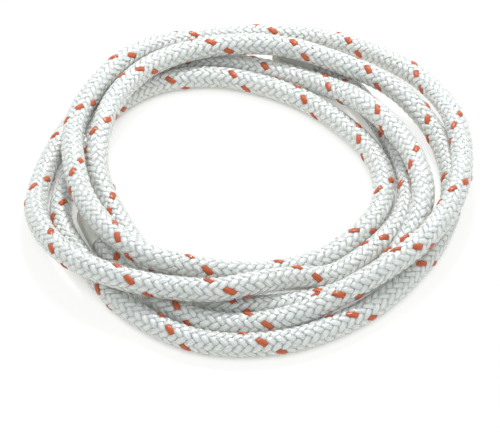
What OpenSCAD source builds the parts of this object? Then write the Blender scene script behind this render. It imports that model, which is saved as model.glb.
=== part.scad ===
// Dynamic climbing rope, lying in a loose round coil.
// A braided sheath around parallel core strands and an identification tape,
// closed at each end by a fused tip under a short shrink sleeve.
// Lengths are millimetres, angles are degrees. The rope rests on z = 0.

/* [Rope] */

// Outside diameter of the rope, measured across the flats of the sheath
rope_d = 10; // [9:0.1:11]

// Thickness of the braided sheath
sheath_wall = 1.15; // [1:0.05:1.3]

// Free play left between neighbouring pieces inside the sheath
core_play = 0.15; // [0.1:0.01:0.2]

/* [Identification tape] */

// Width of the tape that runs beside the core
tape_w = 1.1; // [0.8:0.1:1.2]

// Thickness of the tape
tape_t = 0.2; // [0.15:0.05:0.25]

/* [Rope ends] */

// Length of the shrink sleeve on each end
sleeve_len = 20; // [12:1:21]

// Wall of the shrink sleeve
sleeve_wall = 0.35; // [0.25:0.05:0.4]

// Gap between the sleeve and the corners of the sheath
sleeve_play = 0.07; // [0.05:0.01:0.1]

// Distance from the end of the sheath to the sleeve
sleeve_setback = 1; // [0.5:0.5:2]

// Length of the fused tip
tip_len = 3; // [2:0.5:4]

// How far the fused tip is drawn in from the side of the sheath
tip_shrink = 0.4; // [0.2:0.1:0.8]

// Gap between the end of the sheath and the fused tip
tip_play = 0.05; // [0.02:0.01:0.1]

/* [Hidden] */

// The lay of the coil is written for a 10 mm rope and grows with the rope.
lay_scale = rope_d / 10;

// Shift that puts the middle of the whole coil over the origin
middle = [-2.75, -4.3, 0];

// Centre line of the rope: [angle around the coil, distance from its middle, height].
// A strand on the floor has its centre at height 5; one that rides over another is at 14 to 17.
route = [
    // first turn: starts under the second, climbs at the right, outermost round the back
    [-160, 71, 6], [-140, 74.5, 6], [-120, 83.9, 5], [-100, 92.9, 5], [-80, 92.9, 6.6],
    [-60, 91, 14.8], [-40, 90.5, 16], [-20, 92, 15.5], [0, 94.5, 15], [20, 99.3, 14.5],
    [40, 105.5, 11], [60, 112, 6.5], [80, 113, 5], [100, 106.3, 7], [120, 97.2, 15.8],
    [140, 87, 17], [160, 80.5, 15.3], [180, 74.3, 16.7],
    // second turn: over the left side, then innermost on the floor
    [200, 73, 17], [220, 74, 17], [240, 75.5, 17.2], [260, 68.4, 12], [280, 61.5, 5],
    [300, 62, 5], [320, 60.5, 5], [340, 61.5, 5], [360, 61, 5], [380, 60, 5],
    [400, 59.5, 5], [420, 63.3, 5], [440, 69.7, 5], [460, 78.8, 5], [480, 83.4, 5],
    [500, 80.5, 5], [520, 76, 5], [540, 77.5, 5],
    // third turn: swings out to the front edge, then over the back
    [560, 84, 5], [580, 85.5, 5], [600, 95.5, 5], [620, 104.5, 5], [640, 103.9, 5],
    [660, 97.8, 5], [680, 92.2, 5], [700, 90.5, 5], [720, 90.7, 5], [740, 91.5, 7],
    [760, 88.3, 14.5], [780, 83.5, 17], [800, 88.5, 16], [820, 88.5, 15.5],
    [840, 85, 15.5], [860, 75.5, 16], [880, 68.3, 14.5], [900, 64.3, 11],
    // fourth turn: dives under the second, over the right side, outermost at the left
    [920, 60.5, 6.5], [940, 62, 5], [960, 71.8, 5], [980, 81.3, 5], [1000, 82.3, 5],
    [1020, 83.6, 5], [1040, 81.7, 5], [1060, 80.8, 13.7], [1080, 74.8, 15.3],
    [1100, 70, 15.5], [1120, 67.5, 16.5], [1140, 74.5, 8.5], [1160, 82.5, 5],
    [1180, 90.2, 5], [1200, 94.2, 5], [1220, 91.5, 5], [1240, 87, 5], [1260, 89, 5],
    // last turn: crosses over the front left, then ends under the back
    [1280, 94, 10], [1300, 95, 14.5], [1320, 91, 16.5], [1340, 84.5, 15.5], [1350, 80, 16],
    [1360, 73.8, 12.6], [1370, 71.4, 8.5], [1380, 72.6, 5], [1400, 71.1, 5],
    [1420, 72.2, 5], [1440, 71.6, 5], [1460, 70.8, 5], [1480, 76, 5], [1500, 87.5, 6],
    [1520, 94, 6]
];

centres = [for (s = route) (middle + [s[1] * cos(s[0]), s[1] * sin(s[0]), s[2]]) * lay_scale];
last = len(centres) - 1;

sheath_sides = 12;
strand_sides = 6;
outer_strands = 6;

rope_r = rope_d / 2;
bore_r = rope_r - sheath_wall;
corner = 1 / cos(180 / sheath_sides);
// One strand in the middle and six around it fill the bore, with the play between them.
strand_d = (bore_r - 2 * core_play) / 1.5;
strand_pitch = strand_d + core_play;
tape_seat = bore_r - core_play - tape_t / 2;

function unit(v) = v / norm(v);
function step(i) = unit(centres[i + 1] - centres[i]);
// Direction of the rope at a point of its route, halfway between its two neighbours'
function heading(i) = i == 0 ? step(0) : i == last ? step(last - 1) : unit(step(i - 1) + step(i));
function across(i) = unit(cross(heading(i), [0, 0, 1]));
function upward(i) = cross(across(i), heading(i));
// A cross-section of flat spots [across, up] set square to the rope at a point of its route
function section(i, spots) = [for (s = spots) centres[i] + across(i) * s[0] + upward(i) * s[1]];
function polygon_spots(sides, r, turn) =
    [for (k = [0:sides - 1]) let (a = turn + k * 360 / sides) [r * cos(a), r * sin(a)]];
function moved(spots, by) = [for (s = spots) s + by];
// Two triangles for each side of the wall between one cross-section and the next
function wall(n, stride, start, inside) = [
    for (i = [0:last - 1], k = [0:n - 1])
        let (a = i * stride + start + k, b = i * stride + start + (k + 1) % n)
            each inside ? [[a, b + stride, b], [a, a + stride, b + stride]]
                        : [[a, b, b + stride], [a, b + stride, a + stride]]
];

// A solid piece that keeps its place in the rope all along the route
module run(spots) {
    n = len(spots);
    polyhedron(
        points = [for (i = [0:last]) each section(i, spots)],
        faces = concat(
            [[for (k = [n - 1:-1:0]) k]],
            wall(n, n, 0, false),
            [[for (k = [0:n - 1]) last * n + k]]),
        convexity = 12);
}

// A hollow piece: the same, with a second wall inside the first
module hollow_run(outside, inside) {
    n = len(outside);
    ring = 2 * n;
    polyhedron(
        points = [for (i = [0:last]) each concat(section(i, outside), section(i, inside))],
        faces = concat(
            wall(n, ring, 0, false),
            wall(n, ring, n, true),
            [for (k = [0:n - 1]) let (l = (k + 1) % n) each
                [[k, n + l, l], [k, n + k, n + l]]],
            [for (k = [0:n - 1]) let (l = (k + 1) % n, e = last * ring) each
                [[e + k, e + l, e + n + l], [e + k, e + n + l, e + n + k]]]),
        convexity = 16);
}

// Puts a piece drawn along +Z at a point, pointing along a direction
module aimed(at, dir) {
    translate(at)
        rotate([0, acos(dir[2]), atan2(dir[1], dir[0])])
            children();
}

// Braided cover of the rope, one piece from end to end
module sheath() {
    color([0.86, 0.88, 0.86])
        hollow_run(polygon_spots(sheath_sides, rope_r * corner, 180 / sheath_sides),
                   polygon_spots(sheath_sides, bore_r * corner, 180 / sheath_sides));
}

// One of the strands that carry the load: number 1 is in the middle, 2 to 7 lie around it
module core_strand(number) {
    seat_angle = (number - 2) * 360 / outer_strands;
    seat = number == 1 ? [0, 0] : strand_pitch * [cos(seat_angle), sin(seat_angle)];
    color([0.95, 0.94, 0.9])
        run(moved(polygon_spots(strand_sides, strand_d / 2, 0), seat));
}

module core_strand_1() { core_strand(1); }
module core_strand_2() { core_strand(2); }
module core_strand_3() { core_strand(3); }
module core_strand_4() { core_strand(4); }
module core_strand_5() { core_strand(5); }
module core_strand_6() { core_strand(6); }
module core_strand_7() { core_strand(7); }

// Blank tape lying in the groove between two strands, under the sheath
module marker_tape() {
    groove = 180 / outer_strands;
    out = [cos(groove), sin(groove)];
    along = [-sin(groove), cos(groove)];
    color([0.9, 0.8, 0.35])
        run([for (c = [[-1, -1], [1, -1], [1, 1], [-1, 1]])
            out * (tape_seat + c[0] * tape_t / 2) + along * c[1] * tape_w / 2]);
}

// Plain shrink sleeve drawn down over one end of the sheath
module end_sleeve(at, dir) {
    sleeve_bore_r = rope_r * corner + sleeve_play;
    color([0.82, 0.82, 0.78])
        aimed(at + dir * sleeve_setback, dir)
            difference() {
                cylinder(h = sleeve_len, r = sleeve_bore_r + sleeve_wall, $fn = 48);
                translate([0, 0, -1])
                    cylinder(h = sleeve_len + 2, r = sleeve_bore_r, $fn = 48);
            }
}

module end_sleeve_1() { end_sleeve(centres[0], heading(0)); }
module end_sleeve_2() { end_sleeve(centres[last], -heading(last)); }

// Rounded cap where sheath and core are melted together
module sealed_tip(at, dir) {
    tip_r = rope_r - tip_shrink;
    rim = tip_len / 4;
    dome = tip_len - rim;
    color([0.8, 0.76, 0.66])
        aimed(at + dir * tip_play, dir)
            rotate_extrude($fn = 36)
                polygon(concat([[0, 0], [tip_r, 0]],
                    [for (a = [0:15:90]) [tip_r * cos(a), rim + dome * sin(a)]]));
}

module sealed_tip_1() { sealed_tip(centres[0], -heading(0)); }
module sealed_tip_2() { sealed_tip(centres[last], heading(last)); }

sheath();
core_strand_1();
core_strand_2();
core_strand_3();
core_strand_4();
core_strand_5();
core_strand_6();
core_strand_7();
marker_tape();
end_sleeve_1();
end_sleeve_2();
sealed_tip_1();
sealed_tip_2();
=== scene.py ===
from functools import reduce
from math import cos, pi, radians, sin

import bmesh
import bpy
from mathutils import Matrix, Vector


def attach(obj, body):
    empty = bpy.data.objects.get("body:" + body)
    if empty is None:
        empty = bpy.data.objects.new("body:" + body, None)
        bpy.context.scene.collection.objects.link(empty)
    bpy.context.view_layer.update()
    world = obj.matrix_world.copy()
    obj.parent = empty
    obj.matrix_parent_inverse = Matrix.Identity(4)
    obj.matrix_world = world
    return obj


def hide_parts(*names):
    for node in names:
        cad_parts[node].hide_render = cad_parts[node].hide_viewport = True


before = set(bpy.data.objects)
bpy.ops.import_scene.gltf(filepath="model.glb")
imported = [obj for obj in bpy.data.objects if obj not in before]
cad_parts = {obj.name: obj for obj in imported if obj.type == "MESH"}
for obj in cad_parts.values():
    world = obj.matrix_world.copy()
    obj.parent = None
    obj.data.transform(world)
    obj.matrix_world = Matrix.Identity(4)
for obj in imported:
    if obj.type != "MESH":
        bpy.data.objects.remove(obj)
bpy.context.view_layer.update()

# ---------------------------------------------------------------------------
# Viewpoint and studio. The coil lies on a white sweep and is seen from the
# front, 40 degrees above the floor, through a long lens. The floor is nearly
# white from a painted glow and keeps the soft shadow under the rope.
# ---------------------------------------------------------------------------
VIEW_HEIGHT_ANGLE = radians(40)
SWEEP_HALF = 6.0                            # the floor reaches this far each way
GAP_REACH = 0.014                           # how near a turn has to be to count as closing a gap
NARROW_GAP, NARROW_WHITE = 0.15, 0.35       # how open a narrow gap is, and its share of the painted white glow
OPEN_FLOOR, OPEN_WHITE = 0.5, 0.88          # the same where the floor counts as open

eye = bpy.data.cameras.new("studio_camera")
eye.lens = 149.0
eye.sensor_width = 36.0
eye.clip_end = 20.0
camera = bpy.data.objects.new("studio_camera", eye)
camera.location = (-0.00055, -0.7035, 0.5718)
camera.rotation_euler = (pi / 2 - VIEW_HEIGHT_ANGLE, 0, 0)
bpy.context.scene.collection.objects.link(camera)
bpy.context.scene.camera = camera
bpy.context.scene.view_settings.view_transform = "Standard"


def soft_box(name, place, size, watts, tint):
    """A square studio lamp that faces the coil."""
    lamp = bpy.data.lights.new(name, "AREA")
    lamp.size = size
    lamp.energy = watts
    lamp.color = tint
    box = bpy.data.objects.new(name, lamp)
    box.location = place
    aim = Vector((0, 0, 0.005)) - Vector(place)
    box.rotation_euler = aim.to_track_quat("-Z", "Y").to_euler()
    bpy.context.scene.collection.objects.link(box)


soft_box("key_lamp", place=(0.04, 0.30, 0.58), size=0.12, watts=3.3, tint=(0.97, 1.0, 0.985))
soft_box("front_fill", place=(0.1, -0.75, 0.95), size=0.9, watts=0.9, tint=(0.95, 1.0, 0.98))

world = bpy.data.worlds.new("studio_air")
bpy.context.scene.world = world
world.use_nodes = True
air = world.node_tree.nodes["Background"]
air.inputs["Color"].default_value = (0.86, 0.92, 0.915, 1)
air.inputs["Strength"].default_value = 0.93


class Wiring:
    """Adds nodes to a tree and joins them, so that a formula reads as a formula."""

    def __init__(self, tree):
        self.tree = tree

    def add(self, kind, *sources, **settings):
        """A new node with its settings made, and its first inputs joined or set in their order."""
        node = self.tree.nodes.new(kind)
        for name, value in settings.items():
            setattr(node, name, value)
        for place, source in enumerate(sources):
            self.join(source, node.inputs[place])
        return node

    def join(self, source, socket):
        """Links a socket to another, or sets it to a value."""
        if source is None:
            return
        if isinstance(source, bpy.types.NodeSocket):
            self.tree.links.new(source, socket)
        else:
            socket.default_value = source

    def math(self, how, *sources):
        return self.add("ShaderNodeMath", *sources, operation=how).outputs[0]

    def plus(self, *terms):
        return reduce(lambda a, b: self.math("ADD", a, b), terms)

    def less(self, a, b):
        return self.math("SUBTRACT", a, b)

    def times(self, *factors):
        return reduce(lambda a, b: self.math("MULTIPLY", a, b), factors)

    def over(self, a, b):
        return self.math("DIVIDE", a, b)

    def sine(self, angle):
        return self.math("SINE", angle)

    def cosine(self, angle):
        return self.math("COSINE", angle)

    def vector(self, how, *sources):
        return self.add("ShaderNodeVectorMath", *sources, operation=how).outputs["Vector"]

    def scaled(self, vector, factor):
        node = self.add("ShaderNodeVectorMath", vector, operation="SCALE")
        self.join(factor, node.inputs["Scale"])
        return node.outputs["Vector"]

    def ranged(self, value, low, high, first=0.0, last=1.0):
        """Goes from first to last as the value goes from low to high."""
        return self.add("ShaderNodeMapRange", value, low, high, first, last).outputs[0]

    def mixed(self, amount, first, second):
        """A colour between two others."""
        node = self.add("ShaderNodeMix", data_type="RGBA")
        self.join(amount, node.inputs[0])
        self.join(first, node.inputs[6])
        self.join(second, node.inputs[7])
        return node.outputs[2]


corners = [(x * SWEEP_HALF, y * SWEEP_HALF, 0) for x, y in ((-1, -1), (1, -1), (1, 1), (-1, 1))]
floor_mesh = bpy.data.meshes.new("sweep")
floor_mesh.from_pydata(corners, [], [(0, 1, 2, 3)])
floor = bpy.data.objects.new("sweep", floor_mesh)
bpy.context.scene.collection.objects.link(floor)
paper = bpy.data.materials.new("white_paper")
paper.use_nodes = True
paper.node_tree.nodes.clear()
p = Wiring(paper.node_tree)
matt = p.add("ShaderNodeBsdfDiffuse", (0.88, 0.86, 0.79, 1))
bright = p.add("ShaderNodeEmission", (1, 1, 1, 1), 1.0)
# A painted white glow in the open, which an occlusion mask mostly holds back deep in the narrow gaps
# between two turns
openness = p.add("ShaderNodeAmbientOcclusion")
openness.inputs["Distance"].default_value = GAP_REACH
white = p.ranged(openness.outputs["AO"], NARROW_GAP, OPEN_FLOOR, NARROW_WHITE, OPEN_WHITE)
# The same white is seen straight on, in a reflection and through anything clear
rays = p.add("ShaderNodeLightPath").outputs
sent_on = p.plus(rays["Is Glossy Ray"], rays["Is Transmission Ray"])
seen = p.add("ShaderNodeMath", rays["Is Camera Ray"], sent_on, operation="ADD", use_clamp=True)
share = p.times(seen.outputs[0], white)
lit = p.add("ShaderNodeMixShader", share, matt.outputs[0], bright.outputs[0])
p.add("ShaderNodeOutputMaterial", lit.outputs[0])
floor_mesh.materials.append(paper)

# ---------------------------------------------------------------------------
# The lay of the rope. A 10 mm kernmantle rope is let fall in a loose coil of
# four and two thirds turns. Each point is the angle around the coil in
# degrees, and the distance from its middle and the height in metres.
# ---------------------------------------------------------------------------
ROPE_D = 0.010
COIL_MIDDLE = Vector((-0.00275, -0.0043, 0))
ROUTE = [
    (-160, 0.071, 0.006), (-140, 0.0745, 0.006), (-120, 0.0839, 0.005), (-100, 0.0929, 0.005),
    (-80, 0.0929, 0.0066), (-60, 0.091, 0.0148), (-40, 0.0905, 0.016), (-20, 0.092, 0.0155),
    (0, 0.0945, 0.015), (20, 0.0993, 0.0145), (40, 0.1055, 0.011), (60, 0.112, 0.0065),
    (80, 0.113, 0.005), (100, 0.1063, 0.007), (120, 0.0972, 0.0158), (140, 0.087, 0.017),
    (160, 0.0805, 0.0153), (180, 0.0743, 0.0167), (200, 0.073, 0.017), (220, 0.074, 0.017),
    (240, 0.0755, 0.0172), (260, 0.0684, 0.012), (280, 0.0615, 0.005), (300, 0.062, 0.005),
    (320, 0.0605, 0.005), (340, 0.0615, 0.005), (360, 0.061, 0.005), (380, 0.060, 0.005),
    (400, 0.0595, 0.005), (420, 0.0633, 0.005), (440, 0.0697, 0.005), (460, 0.0788, 0.005),
    (480, 0.0834, 0.005), (500, 0.0805, 0.005), (520, 0.076, 0.005), (540, 0.0775, 0.005),
    (560, 0.084, 0.005), (580, 0.0855, 0.005), (600, 0.0955, 0.005), (620, 0.1045, 0.005),
    (640, 0.1039, 0.005), (660, 0.0978, 0.005), (680, 0.0922, 0.005), (700, 0.0905, 0.005),
    (720, 0.0907, 0.005), (740, 0.0915, 0.007), (760, 0.0883, 0.0145), (780, 0.0835, 0.017),
    (800, 0.0885, 0.016), (820, 0.0885, 0.0155), (840, 0.085, 0.0155), (860, 0.0755, 0.016),
    (880, 0.0683, 0.0145), (900, 0.0643, 0.011), (920, 0.0605, 0.0065), (940, 0.062, 0.005),
    (960, 0.0718, 0.005), (980, 0.0813, 0.005), (1000, 0.0823, 0.005), (1020, 0.0836, 0.005),
    (1040, 0.0817, 0.005), (1060, 0.0808, 0.0137), (1080, 0.0748, 0.0153), (1100, 0.070, 0.0155),
    (1120, 0.0675, 0.0165), (1140, 0.0745, 0.0085), (1160, 0.0825, 0.005), (1180, 0.0902, 0.005),
    (1200, 0.0942, 0.005), (1220, 0.0915, 0.005), (1240, 0.087, 0.005), (1260, 0.089, 0.005),
    (1280, 0.094, 0.010), (1300, 0.095, 0.0145), (1320, 0.091, 0.0165), (1340, 0.0845, 0.0155),
    (1350, 0.080, 0.016), (1360, 0.0738, 0.0126), (1370, 0.0714, 0.0085), (1380, 0.0726, 0.005),
    (1400, 0.0711, 0.005), (1420, 0.0722, 0.005), (1440, 0.0716, 0.005), (1460, 0.0708, 0.005),
    (1480, 0.076, 0.005), (1500, 0.0875, 0.006), (1520, 0.094, 0.006),
]
# How the braid lies by each angle of the route: how far the sheath has turned about the rope in
# degrees, and how far its crossings are pushed along the rope in metres
SHEATH_LAY = [
    (-160, 45, 0), (-134, 43, 0), (-105, 38, -0.0015), (-86, -10, 0.0015), (-66, -73, 0.0023),
    (-40, -77, 0.0008), (-13, -9, -0.0005), (14, 83, -0.0014), (41, 155, -0.0031), (62, 215, 0.0013),
    (83, 223, 0.0017), (101, 200, 0), (127, 235, -0.0008), (153, 265, 0.0008), (189, 303, -0.0018),
    (226, 375, -0.002), (257, 350, 0.0011), (292, 351, -0.0014), (325, 333, -0.0005),
    (352, 287, -0.003), (389, 303, -0.0025), (425, 303, -0.002), (453, 291, 0.0005),
    (479, 231, 0.0006), (554, 123, 0.0019), (613, 235, 0.0005), (633, 223, 0.004), (655, 239, 0.0045),
    (682, 235, -0.0005), (741, 138, 0.0033), (767, 145, 0.0025), (792, 127, 0.003), (817, 143, 0.0025),
    (850, 139, -0.0021), (883, 155, -0.0027), (918, 211, -0.0008), (992, 255, 0.0003),
    (1013, 267, 0.004), (1044, 313, 0), (1077, 479, 0.0031), (1109, 427, 0.0026), (1135, 383, 0.0003),
    (1165, 363, -0.0032), (1265, 375, -0.0042), (1295, 415, -0.0015), (1322, 437, -0.0034),
    (1351, 407, -0.0006), (1380, 435, -0.0041), (1407, 459, -0.0046), (1438, 543, -0.0041),
    (1498, 519, -0.0041), (1520, 525, -0.0041),
]
SMOOTHED_OVER = range(-9, 10, 3)    # degrees either side over which the braid's lay is averaged
STEPS_BETWEEN = 10      # points of the drawn line from one point of the route to the next
EASE = 0.5              # 0 goes through the route's points, 1 cuts every corner

route = [COIL_MIDDLE + Vector((r * cos(radians(a)), r * sin(radians(a)), z)) for a, r, z in ROUTE]


def eased(a, b, c, d, t):
    """A point between b and c, partway between a curve through them and one that rounds them off."""
    through = 0.5 * (2 * b + (c - a) * t + (2 * a - 5 * b + 4 * c - d) * t**2
                     + (3 * b - a - 3 * c + d) * t**3)
    rounded = ((1 - t)**3 * a + (3 * t**3 - 6 * t**2 + 4) * b
               + (3 * t + 3 * t**2 - 3 * t**3 + 1) * c + t**3 * d) / 6
    return through.lerp(rounded, EASE)


def braid_lay(angle):
    """The sheath's turn in radians and its push in metres at an angle of the route."""
    angle = min(max(angle, SHEATH_LAY[0][0]), SHEATH_LAY[-1][0])
    for (a, turn_a, push_a), (b, turn_b, push_b) in zip(SHEATH_LAY, SHEATH_LAY[1:]):
        if angle <= b:
            t = (angle - a) / (b - a)
            return radians(turn_a + (turn_b - turn_a) * t), push_a + (push_b - push_a) * t


lengthened = [2 * route[0] - route[1]] + route + [2 * route[-1] - route[-2]]
centre_line, sheath_lay = [], []
for i in range(len(route) - 1):
    for k in range(STEPS_BETWEEN + (i == len(route) - 2)):
        t = k / STEPS_BETWEEN
        spot = eased(*lengthened[i:i + 4], t)
        spot.z = max(spot.z, ROPE_D / 2)
        centre_line.append(spot)
        angle = ROUTE[i][0] + (ROUTE[i + 1][0] - ROUTE[i][0]) * t
        near_by = [braid_lay(angle + off) for off in SMOOTHED_OVER]
        sheath_lay.append([sum(values) / len(near_by) for values in zip(*near_by)])
rope_length = sum((b - a).length for a, b in zip(centre_line, centre_line[1:]))

lay = bpy.data.curves.new("rope_lay", "CURVE")
lay.dimensions = "3D"
spline = lay.splines.new("POLY")
spline.points.add(len(centre_line) - 1)
for point, spot, (turn, push) in zip(spline.points, centre_line, sheath_lay):
    point.co = (*spot, 1)
    point.tilt = turn
    point.radius = push

# ---------------------------------------------------------------------------
# Sheath. Twenty plump yarns of bright polyamide filament, braided two over
# and two under. All are white but one, an orange-red tracer that comes to the
# surface as a short slanting dash at every fifth of a turn.
# ---------------------------------------------------------------------------
YARNS_EACH_WAY = 10         # twenty carriers: ten yarns wind one way and ten the other
PITCH = 0.039               # one turn of a yarn about the rope
YARN_SPOTS = 8              # corners of a yarn's cross-section
STATIONS_PER_WAVE = 8       # places along a yarn from one float to the next
YARN_GIRTH = 0.006          # metres around a yarn, for the size of its filaments
yarn_stations = int(rope_length / (PITCH / (YARNS_EACH_WAY / 2)) * STATIONS_PER_WAVE)


def node_group(kind, name, inputs, outputs):
    """Starts a node group with named inputs and outputs. Returns its wiring and both its ends."""
    tree = bpy.data.node_groups.new(name, kind)
    for way, items in (("INPUT", inputs), ("OUTPUT", outputs)):
        for label, sort, value in items:
            item = tree.interface.new_socket(label, in_out=way, socket_type="NodeSocket" + sort)
            if value is not None:
                item.default_value = value
    group = Wiring(tree)
    return group, group.add("NodeGroupInput").outputs, group.add("NodeGroupOutput").inputs


def round_bar(w, given):
    """A plain round bar. Returns it with each point's number, its station and its spot around it."""
    rail = w.add("GeometryNodeResampleCurve", mode="COUNT")
    w.join(w.add("GeometryNodeCurvePrimitiveLine").outputs["Curve"], rail.inputs["Curve"])
    w.join(given["Stations"], rail.inputs["Count"])
    profile = w.add("GeometryNodeCurvePrimitiveCircle", given["Spots"])
    bar = w.add("GeometryNodeCurveToMesh")
    w.join(rail.outputs["Curve"], bar.inputs["Curve"])
    w.join(profile.outputs["Curve"], bar.inputs["Profile Curve"])
    bar.inputs["Fill Caps"].default_value = True
    index = w.add("GeometryNodeInputIndex").outputs["Index"]
    station = w.math("FLOOR", w.over(w.plus(index, 0.5), given["Spots"]))
    spot = w.less(index, w.times(station, given["Spots"]))
    return bar.outputs["Mesh"], index, station, spot


def stored(w, geometry, name, value, sort="FLOAT", domain="POINT"):
    """Keeps a value on the geometry under a name."""
    node = w.add("GeometryNodeStoreNamedAttribute", geometry, data_type=sort, domain=domain)
    node.inputs["Name"].default_value = name
    w.join(value, node.inputs["Value"])
    return node.outputs[0]


def kept(w, name):
    """Reads a value that was kept under a name."""
    return w.add("GeometryNodeInputNamedAttribute", name, data_type="FLOAT").outputs["Attribute"]


def sampled(w, given, distance, value=None):
    """The place on the rope's lay at a distance along it, and what the lay carries there."""
    node = w.add("GeometryNodeSampleCurve", given["Lay"], mode="LENGTH", data_type="FLOAT",
                 use_all_curves=True)
    w.join(distance, node.inputs["Length"])
    w.join(value, node.inputs["Value"])
    return node.outputs


def moved_to(w, geometry, place, to_side, to_top):
    """Moves each point to its place on the lay, and from there sideways and up across the rope."""
    side = w.vector("NORMALIZE", w.vector("CROSS_PRODUCT", place["Tangent"], (0, 0, 1)))
    upward = w.vector("CROSS_PRODUCT", side, place["Tangent"])
    offset = w.vector("ADD", w.scaled(side, to_side), w.scaled(upward, to_top))
    laid = w.add("GeometryNodeSetPosition", geometry)
    w.join(w.vector("ADD", place["Position"], offset), laid.inputs["Position"])
    return laid.outputs[0]


def dressed(w, geometry, finish, end):
    """Ends a tree: plain smooth mesh with its material."""
    smooth = w.add("GeometryNodeSetShadeSmooth", geometry)
    whole = w.add("GeometryNodeRealizeInstances", smooth.outputs[0])
    covered = w.add("GeometryNodeSetMaterial", whole.outputs[0])
    w.join(finish, covered.inputs["Material"])
    w.join(covered.outputs[0], end)


def made_along(tree, name, values):
    """Runs a tree on the lay of the rope and returns what comes out as a plain mesh object."""
    source = bpy.data.objects.new(name + "_source", lay)
    bpy.context.scene.collection.objects.link(source)
    modifier = source.modifiers.new("build", "NODES")
    modifier.node_group = tree
    for item in tree.interface.items_tree:
        if item.item_type == "SOCKET" and item.in_out == "INPUT" and item.name in values:
            modifier[item.identifier] = values[item.name]
    evaluated = source.evaluated_get(bpy.context.evaluated_depsgraph_get())
    mesh = bpy.data.meshes.new_from_object(evaluated, preserve_all_data_layers=True)
    source.modifiers.remove(modifier)
    bpy.data.objects.remove(source)
    mesh.name = name
    piece = bpy.data.objects.new(name, mesh)
    bpy.context.scene.collection.objects.link(piece)
    return piece


w, given, gives = node_group("GeometryNodeTree", "braided_yarns", [
    ("Lay", "Geometry", None), ("Yarns", "Int", 4), ("First yarn", "Int", 0), ("Hand", "Float", 1.0),
    ("Stations", "Int", 1000), ("Spots", "Int", 8), ("Yarns each way", "Float", 10.0),
    ("Pitch", "Float", 0.039), ("Middle radius", "Float", 0.0041), ("Dip", "Float", 0.0004),
    ("Yarn width", "Float", 0.0029), ("Yarn thickness", "Float", 0.0011), ("Yarn girth", "Float", 0.006),
    ("Swell", "Float", 0.06), ("Unevenness", "Float", 0.0001), ("Uneven waves", "Float", 230.0),
    ("Seed", "Float", 3.0), ("Yarn finish", "Material", None)], [("Braid", "Geometry", None)])
bar, index, station, spot = round_bar(w, given)
bar = stored(w, stored(w, bar, "station", station), "spot", spot)
carriers = w.add("GeometryNodeMeshLine", given["Yarns"])
copies = w.add("GeometryNodeInstanceOnPoints")
w.join(carriers.outputs["Mesh"], copies.inputs["Points"])
w.join(bar, copies.inputs["Instance"])
numbered = stored(w, copies.outputs[0], "yarn", w.plus(index, given["First yarn"]), domain="INSTANCE")
bars = w.add("GeometryNodeRealizeInstances", numbered).outputs[0]
yarn, at, around = kept(w, "yarn"), kept(w, "station"), kept(w, "spot")
length = w.add("GeometryNodeCurveLength", given["Lay"]).outputs["Length"]
distance = w.times(w.over(at, w.less(given["Stations"], 1.0)), length)
# The lay carries the push of the crossings as its radius, and the sheath's turn as its tilt
push = sampled(w, given, distance, w.add("GeometryNodeInputRadius").outputs[0])["Value"]
braided = w.plus(distance, push)
# Crossings passed so far, and where this yarn is in its two over, two under round of four
crossings = w.times(w.over(braided, given["Pitch"]), w.times(given["Yarns each way"], 2.0))
round_of_four = w.plus(w.times(crossings, given["Hand"]), w.times(yarn, 2.0))
float_middle = w.less(1.5, given["Hand"])
wave = w.cosine(w.times(w.less(round_of_four, float_middle), pi / 2))
# It stays up along the float and dives quickly
wave = w.sine(w.times(wave, pi / 2))
# Slow unevenness: each yarn reads a stretch of the noise of its own, at least 7.3 from any other
wobble = w.add("ShaderNodeTexNoise", noise_dimensions="4D", normalize=False)
w.join(w.add("ShaderNodeCombineXYZ", w.times(distance, given["Uneven waves"]), w.times(yarn, 7.3),
             w.times(given["Hand"], 31.0)).outputs[0], wobble.inputs["Vector"])
w.join(given["Seed"], wobble.inputs["W"])
wobble.inputs["Scale"].default_value = 1.0
wobble.inputs["Detail"].default_value = 2.0
uneven = w.times(wobble.outputs[0], given["Unevenness"])
radius = w.plus(given["Middle radius"], w.times(wave, given["Dip"]), uneven)
# The yarn's own flattened cross-section, which swells where it floats over
corner = w.times(w.over(around, given["Spots"]), 2 * pi)
swollen = w.plus(w.less(1.0, given["Swell"]), w.times(wave, given["Swell"]))
sideways = w.times(w.sine(corner), w.over(given["Yarn width"], 2.0), swollen)
outward = w.times(w.cosine(corner), w.over(given["Yarn thickness"], -2.0))
# The winding leans across the rope, so one flank of the yarn lies further along than the other
lean = w.math("ARCTAN2", w.times(given["Middle radius"], 2 * pi), given["Pitch"])
along = w.less(distance, w.times(sideways, w.sine(lean), given["Hand"]))
along = w.math("MAXIMUM", w.math("MINIMUM", along, length), 0.0)
place = sampled(w, given, along, w.add("GeometryNodeInputCurveTilt").outputs[0])
wound = w.plus(w.over(yarn, given["Yarns each way"]),
               w.times(w.over(braided, given["Pitch"]), given["Hand"]))
turned = w.plus(w.times(wound, 2 * pi), place["Value"],
                w.over(w.times(sideways, w.cosine(lean)), radius))
reach = w.plus(radius, outward)
laid = moved_to(w, bars, place, w.times(reach, w.cosine(turned)), w.times(reach, w.sine(turned)))
# Metres along the yarn and around it, for the filaments, each yarn a metre on from the last
yarn_map = w.add("ShaderNodeCombineXYZ", w.plus(w.over(distance, w.cosine(lean)), yarn),
                 w.times(w.over(around, given["Spots"]), given["Yarn girth"])).outputs[0]
mapped = stored(w, laid, "yarn_map", yarn_map, "FLOAT2", "CORNER")
dressed(w, stored(w, mapped, "float_height", wave), given["Yarn finish"], gives["Braid"])
braided_yarns = w.tree

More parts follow.
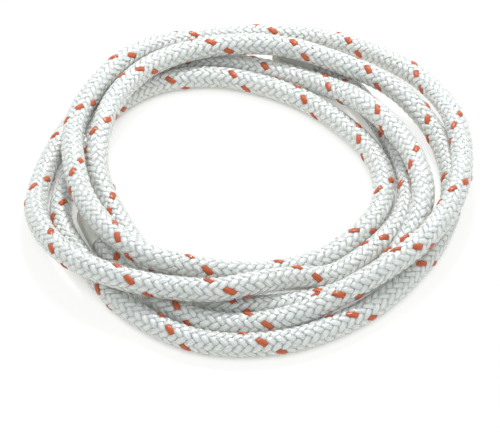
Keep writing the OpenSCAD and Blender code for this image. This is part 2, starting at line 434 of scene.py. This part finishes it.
DEEP, CROWN = -0.6, 0.6         # float height below which a yarn has its painted dip tone alone, and above which its crown colour alone
STREAK_TONES = (0.3, 0.7)       # how strong a streak is where its painted shade is darkest and its painted highlight palest
STREAK_GLOSS = (0.35, 0.65)     # the same where it is brightest and dullest
g, given, gives = node_group("ShaderNodeTree", "filament_yarn", [
    ("Yarn map", "Vector", None), ("Float height", "Float", 0.0),
    ("Crown colour", "Color", (0.9, 0.9, 0.9, 1)), ("Painted dip tone", "Color", (0.5, 0.5, 0.5, 1)),
    ("Streaks along", "Float", 220.0), ("Streaks across", "Float", 2000.0),
    ("Streakiness", "Float", 2.0), ("Painted streak light and shade", "Float", 0.16),
    ("Bright roughness", "Float", 0.12), ("Dull roughness", "Float", 0.30)],
    [("Base Color", "Color", None), ("Roughness", "Float", None), ("Bump Height", "Float", None)])
grain = g.add("ShaderNodeCombineXYZ", given["Streaks along"], given["Streaks across"], 1.0).outputs[0]
noise = g.add("ShaderNodeTexNoise", g.vector("MULTIPLY", given["Yarn map"], grain), noise_dimensions="2D")
noise.inputs["Scale"].default_value = 1.0
noise.inputs["Detail"].default_value = 3.0
streaks = noise.outputs[0]
# The streaks make the border between the two colours ragged
lift = g.times(g.less(streaks, 0.5), given["Streakiness"])
crown = g.ranged(g.plus(given["Float height"], lift), DEEP, CROWN)
tone = g.mixed(crown, given["Painted dip tone"], given["Crown colour"])
# Streaks along the filaments are painted onto the colour: painted highlight on the paler ones, painted
# shade on the darker ones
painted_streak_shade, painted_streak_highlight = g.less(1.0, given["Painted streak light and shade"]), g.plus(1.0, given["Painted streak light and shade"])
gloss = g.ranged(streaks, *STREAK_GLOSS, given["Bright roughness"], given["Dull roughness"])
g.join(g.scaled(tone, g.ranged(streaks, *STREAK_TONES, painted_streak_shade, painted_streak_highlight)), gives["Base Color"])
g.join(gloss, gives["Roughness"])
g.join(streaks, gives["Bump Height"])
filament_yarn = g.tree


def finish_of(name, effect, values, relief, depth):
    """A material with the tone, gloss and relief of a shader group, and the nodes it is made of."""
    finish = bpy.data.materials.new(name)
    finish.use_nodes = True
    f = Wiring(finish.node_tree)
    surface = finish.node_tree.nodes["Principled BSDF"]
    stuff = f.add("ShaderNodeGroup", node_tree=effect)
    for label, value in values.items():
        stuff.inputs[label].default_value = value
    bump = f.add("ShaderNodeBump")
    bump.inputs["Strength"].default_value = relief
    bump.inputs["Distance"].default_value = depth
    f.join(stuff.outputs["Base Color"], surface.inputs["Base Color"])
    f.join(stuff.outputs["Roughness"], surface.inputs["Roughness"])
    f.join(stuff.outputs["Bump Height"], bump.inputs["Height"])
    f.join(bump.outputs[0], surface.inputs["Normal"])
    return finish, f, stuff, bump, surface


def yarn_finish(name, crown, painted_dip, glow, gloss):
    """Glossy filament yarn: painted streaks of highlight and shade along it, and a painted tone where it
    dips under, in place of the light and shade that fall there.
    """
    colours = {"Crown colour": (*crown, 1), "Painted dip tone": (*painted_dip, 1)}
    finish, f, filaments, bump, surface = finish_of(
        name, filament_yarn, colours, relief=1.0, depth=0.0003)
    mapped = f.add("ShaderNodeAttribute", attribute_name="yarn_map")
    height = f.add("ShaderNodeAttribute", attribute_name="float_height")
    f.join(mapped.outputs["Vector"], filaments.inputs["Yarn map"])
    f.join(height.outputs["Fac"], filaments.inputs["Float height"])
    surface.inputs["Specular IOR Level"].default_value = gloss
    surface.inputs["Coat Weight"].default_value = gloss
    surface.inputs["Coat Roughness"].default_value = 0.12
    f.join(bump.outputs[0], surface.inputs["Coat Normal"])
    surface.inputs["Subsurface Weight"].default_value = glow
    surface.inputs["Subsurface Radius"].default_value = (1.0, 0.97, 0.86)
    surface.inputs["Subsurface Scale"].default_value = 0.0035
    return finish


# The white yarns' dip tone is paler and warmer than their crown: painted warm light where the yarns dip
# into shade under their crossings
white_yarn = yarn_finish("white_polyamide", crown=(0.775, 0.775, 0.73), painted_dip=(0.87, 0.82, 0.68),
                         glow=0.9, gloss=1.0)
# The tracer's dip tone is darker than its crown: painted shade where it dips under the white yarns
tracer_yarn = yarn_finish("orange_red_polyamide", crown=(0.50, 0.10, 0.036), painted_dip=(0.36, 0.062, 0.036),
                          glow=0.2, gloss=0.25)

# The tracer is a little narrower than the white yarns and stands a little prouder
PLAIN = {"Yarn width": 0.0029, "Middle radius": 0.0041, "Yarn finish": white_yarn}
TRACER = {"Yarn width": 0.00265, "Middle radius": 0.00434, "Yarn finish": tracer_yarn}
YARN_LOTS = [       # the way they wind, the first one's number and how many
    ("sheath_tracer_yarn", -1, 0, 1, TRACER),
    ("sheath_yarns_right_1", -1, 1, 3, PLAIN),
    ("sheath_yarns_right_2", -1, 4, 3, PLAIN),
    ("sheath_yarns_right_3", -1, 7, 3, PLAIN),
    ("sheath_yarns_left_1", 1, 0, 4, PLAIN),
    ("sheath_yarns_left_2", 1, 4, 3, PLAIN),
    ("sheath_yarns_left_3", 1, 7, 3, PLAIN),
]
for name, hand, first, count, kind in YARN_LOTS:
    lot = made_along(braided_yarns, name, {
        "Yarns": count, "First yarn": first, "Hand": float(hand), "Stations": yarn_stations,
        "Spots": YARN_SPOTS, "Yarns each way": float(YARNS_EACH_WAY), "Pitch": PITCH,
        "Yarn girth": YARN_GIRTH, **kind})
    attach(lot, "root")
    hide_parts("sheath")

# ---------------------------------------------------------------------------
# Core. Seven strands of twisted white polyamide carry the load: one in the
# middle and six around it. A blank yellow tape lies in the groove between two
# of them. All of it runs loose inside the sheath from end to end.
# ---------------------------------------------------------------------------
STRAND_D = 0.00236
STRAND_PITCH = 0.00252      # from the middle strand to each outer one
OUTER_STRANDS = 6
PLIES = 3
PLY_TURN = 0.012            # one turn of the plies about their strand
TAPE_SEAT = 0.0036          # from the middle of the rope to the tape
TAPE_WIDTH = 0.0011
TAPE_THICKNESS = 0.0002
CORE_STATIONS = 900
STRAND_SPOTS, TAPE_SPOTS = 9, 8

w, given, gives = node_group("GeometryNodeTree", "run_inside_sheath", [
    ("Lay", "Geometry", None), ("Stations", "Int", 900), ("Spots", "Int", 12),
    ("Across", "Float", 0.0), ("Up", "Float", 0.0), ("Plies", "Float", 3.0),
    ("Ply depth", "Float", 0.12), ("Ply turn", "Float", 0.012), ("Half width", "Float", 0.001),
    ("Half thickness", "Float", 0.001), ("Turned", "Float", 0.0), ("Strand finish", "Material", None)],
    [("Run", "Geometry", None)])
bar, _, station, spot = round_bar(w, given)
length = w.add("GeometryNodeCurveLength", given["Lay"]).outputs["Length"]
distance = w.times(w.over(station, w.less(given["Stations"], 1.0)), length)
corner = w.times(w.over(spot, given["Spots"]), -2 * pi)
# Each twisted ply stands out as a lobe that turns about the strand
lobe = w.times(given["Plies"], w.plus(corner, w.times(w.over(distance, given["Ply turn"]), 2 * pi)))
reach = w.less(1.0, w.times(given["Ply depth"], w.less(1.0, w.cosine(lobe))))
flat = w.times(w.cosine(corner), reach, given["Half width"])
tall = w.times(w.sine(corner), reach, given["Half thickness"])
turn_cos, turn_sin = w.cosine(given["Turned"]), w.sine(given["Turned"])
to_side = w.plus(given["Across"], w.less(w.times(flat, turn_cos), w.times(tall, turn_sin)))
to_top = w.plus(given["Up"], w.plus(w.times(flat, turn_sin), w.times(tall, turn_cos)))
laid = moved_to(w, bar, sampled(w, given, distance), to_side, to_top)
dressed(w, laid, given["Strand finish"], gives["Run"])
core_run = w.tree

g, given, gives = node_group("ShaderNodeTree", "mottle", [
    ("Place", "Vector", None), ("Scale", "Float", 500.0), ("Detail", "Float", 3.0),
    ("From", "Float", 0.0), ("To", "Float", 1.0),
    ("First colour", "Color", (0.5, 0.5, 0.5, 1)), ("Second colour", "Color", (0.8, 0.8, 0.8, 1)),
    ("First roughness", "Float", 0.4), ("Second roughness", "Float", 0.5)],
    [("Base Color", "Color", None), ("Roughness", "Float", None), ("Bump Height", "Float", None)])
grain = g.add("ShaderNodeTexNoise", given["Place"])
g.join(given["Scale"], grain.inputs["Scale"])
g.join(given["Detail"], grain.inputs["Detail"])
amount = g.ranged(grain.outputs[0], given["From"], given["To"])
g.join(g.mixed(amount, given["First colour"], given["Second colour"]), gives["Base Color"])
gloss = g.ranged(amount, 0.0, 1.0, given["First roughness"], given["Second roughness"])
g.join(gloss, gives["Roughness"])
g.join(grain.outputs[0], gives["Bump Height"])
mottle = g.tree


def plain_finish(name, values, relief, depth, cover=1.0):
    """A plain stuff, mottled in tone and gloss, that covers what lies under it or lets some show."""
    finish, f, stuff, _, surface = finish_of(name, mottle, values, relief, depth)
    f.join(f.add("ShaderNodeTexCoord").outputs["Object"], stuff.inputs["Place"])
    surface.inputs["Alpha"].default_value = cover
    return finish


core_polyamide = plain_finish("core_polyamide", {
    "Scale": 2600.0, "First colour": (0.80, 0.79, 0.74, 1), "Second colour": (0.93, 0.92, 0.88, 1),
    "First roughness": 0.62, "Second roughness": 0.5}, relief=0.4, depth=0.0002)
tape_film = plain_finish("tape_film", {
    "Scale": 900.0, "Detail": 2.0, "From": 0.3, "To": 0.7, "First colour": (0.83, 0.70, 0.19, 1),
    "Second colour": (0.88, 0.77, 0.25, 1), "First roughness": 0.25, "Second roughness": 0.4},
    relief=0.1, depth=0.0001)

for number in range(1, 2 + OUTER_STRANDS):
    seat_angle = (number - 2) * 2 * pi / OUTER_STRANDS
    from_middle = STRAND_PITCH if number > 1 else 0
    strand = made_along(core_run, f"core_strand_{number}_laid", {
        "Stations": CORE_STATIONS, "Spots": STRAND_SPOTS, "Across": from_middle * cos(seat_angle),
        "Up": from_middle * sin(seat_angle), "Plies": float(PLIES), "Ply turn": PLY_TURN,
        "Half width": STRAND_D / 2, "Half thickness": STRAND_D / 2, "Strand finish": core_polyamide})
    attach(strand, "root")
    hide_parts(f"core_strand_{number}")

groove = pi / OUTER_STRANDS
tape = made_along(core_run, "marker_tape_laid", {
    "Stations": CORE_STATIONS, "Spots": TAPE_SPOTS, "Across": TAPE_SEAT * cos(groove),
    "Up": TAPE_SEAT * sin(groove), "Ply depth": 0.0, "Half width": TAPE_THICKNESS / 2,
    "Half thickness": TAPE_WIDTH / 2, "Turned": groove, "Strand finish": tape_film})
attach(tape, "root")
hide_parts("marker_tape")

# ---------------------------------------------------------------------------
# Ends. At each end sheath and core are melted into one rounded tip, and a
# plain sleeve of pale film is shrunk on over the last two centimetres, so
# that the braid can't open. The sleeve shows the yarns under it faintly.
# ---------------------------------------------------------------------------
SLEEVE_SETBACK = 0.001
SLEEVE_LENGTH = 0.020
SLEEVE_OUTSIDE = 0.0056
SLEEVE_WALL = 0.00035
SLEEVE_STEPS = 40
SLEEVE_RELIEF = 0.00006     # how far the braid shows through the film
LIP = 0.00012               # how far each rim of the sleeve is rounded down
TIP_LENGTH = 0.003
TIP_RADIUS = 0.0046
TIP_RIM = 0.25 * TIP_LENGTH     # the tip's straight part, before its dome
TIP_CROWN = 0.03            # share of the radius at which the dome ends in a small flat
TIP_PLAY = 0.00005
TIP_STEPS = 12
LOBE, RIPPLE = 0.035, 0.02  # unevenness of the melt, as shares of its radius
LOBE_LEAD = 0.4             # radians that the lobes are ahead of the dome, so its edge has them too
AROUND_END = 48             # spots around a sleeve or a tip
RIM_STEPS = 2               # steps along a rim, at the sleeve's mouths and under the tip's dome
angles = [2 * pi * k / AROUND_END for k in range(AROUND_END)]


def on_the_line(distance, from_far_end):
    """Place, side and upward direction at a distance in from one end of the rope."""
    path = centre_line[::-1] if from_far_end else centre_line
    before = 0.0
    for a, b in zip(path, path[1:]):
        if before + (b - a).length > distance or b is path[-1]:
            break
        before += (b - a).length
    ahead = (b - a).normalized()
    side = ahead.cross(Vector((0, 0, 1))).normalized()
    return a + ahead * (distance - before), side, side.cross(ahead)


def ringed_piece(name, rings, closed, finish):
    """A mesh of rings: each is a place, a side and an upward direction, and a radius for each spot."""
    spots = [at + (side * cos(a) + upward * sin(a)) * radius
             for at, side, upward, radii in rings for a, radius in zip(angles, radii)]
    faces = []
    for i in range(len(rings) if closed else len(rings) - 1):
        for k in range(AROUND_END):
            a, b = i * AROUND_END + k, i * AROUND_END + (k + 1) % AROUND_END
            up_a, up_b = (a + AROUND_END) % len(spots), (b + AROUND_END) % len(spots)
            faces.append((a, b, up_b, up_a))
    if not closed:
        faces.append(tuple(range(AROUND_END))[::-1])
        faces.append(tuple(range(len(spots) - AROUND_END, len(spots))))
    mesh = bpy.data.meshes.new(name)
    mesh.from_pydata(spots, [], faces)
    work = bmesh.new()
    work.from_mesh(mesh)
    bmesh.ops.recalc_face_normals(work, faces=work.faces)
    work.to_mesh(mesh)
    work.free()
    mesh.shade_smooth()
    mesh.materials.append(finish)
    piece = bpy.data.objects.new(name, mesh)
    bpy.context.scene.collection.objects.link(piece)
    return piece


shrink_film = plain_finish("shrink_film", {
    "Scale": 420.0, "Detail": 4.0, "From": 0.3, "To": 0.7, "First colour": (0.84, 0.84, 0.77, 1),
    "Second colour": (0.91, 0.91, 0.86, 1), "First roughness": 0.22, "Second roughness": 0.42},
    relief=0.15, depth=0.0001, cover=0.45)
melted_polyamide = plain_finish("melted_polyamide", {
    "Scale": 500.0, "Detail": 5.0, "From": 0.4, "To": 0.75, "First colour": (0.78, 0.73, 0.60, 1),
    "Second colour": (0.45, 0.33, 0.18, 1), "First roughness": 0.28, "Second roughness": 0.4},
    relief=0.5, depth=0.0004)

end_pieces = []
for end in (1, 2):
    far = end == 2
    outer, inner = [], []
    for i in range(SLEEVE_STEPS + 1):
        t = i / SLEEVE_STEPS
        at, side, upward = on_the_line(SLEEVE_SETBACK + SLEEVE_LENGTH * t, far)
        lip = LIP * max(0.0, 1 - min(t, 1 - t) * SLEEVE_STEPS / RIM_STEPS)
        # The crossings under the film, as many around as a yarn floats in one turn
        floats = YARNS_EACH_WAY / 2
        wound = 2 * pi * floats * t * SLEEVE_LENGTH / PITCH
        weave = [sin(floats * a + wound) * sin(floats * a - wound) for a in angles]
        shown = [SLEEVE_OUTSIDE + SLEEVE_RELIEF * (high - 1) - lip for high in weave]
        outer.append((at, side, upward, shown))
        inner.append((at, side, upward, [SLEEVE_OUTSIDE - SLEEVE_WALL] * AROUND_END))
    sleeve = ringed_piece(f"end_sleeve_{end}_film", outer + inner[::-1], closed=True, finish=shrink_film)
    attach(sleeve, "root")
    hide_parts(f"end_sleeve_{end}")
    at, side, upward = on_the_line(0.0, far)
    outwards = side.cross(upward)
    rings = []
    for i in range(TIP_STEPS + 1):
        rise = pi / 2 * i / TIP_STEPS
        out_by = TIP_RIM * min(1, i / RIM_STEPS) + (TIP_LENGTH - TIP_RIM) * sin(rise)
        wide = TIP_RADIUS * max(cos(rise), TIP_CROWN)
        # Three uneven lobes where the melt has run, and seven ripples
        radii = [wide * (1 + LOBE * sin(3 * a + end) * sin(rise + LOBE_LEAD)
                         + RIPPLE * sin(7 * a + 2 * end)) for a in angles]
        rings.append((at + outwards * (TIP_PLAY + out_by), side, upward, radii))
    tip = ringed_piece(f"sealed_tip_{end}_melt", rings, closed=False, finish=melted_polyamide)
    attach(tip, "root")
    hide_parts(f"sealed_tip_{end}")
    end_pieces += [sleeve, tip]
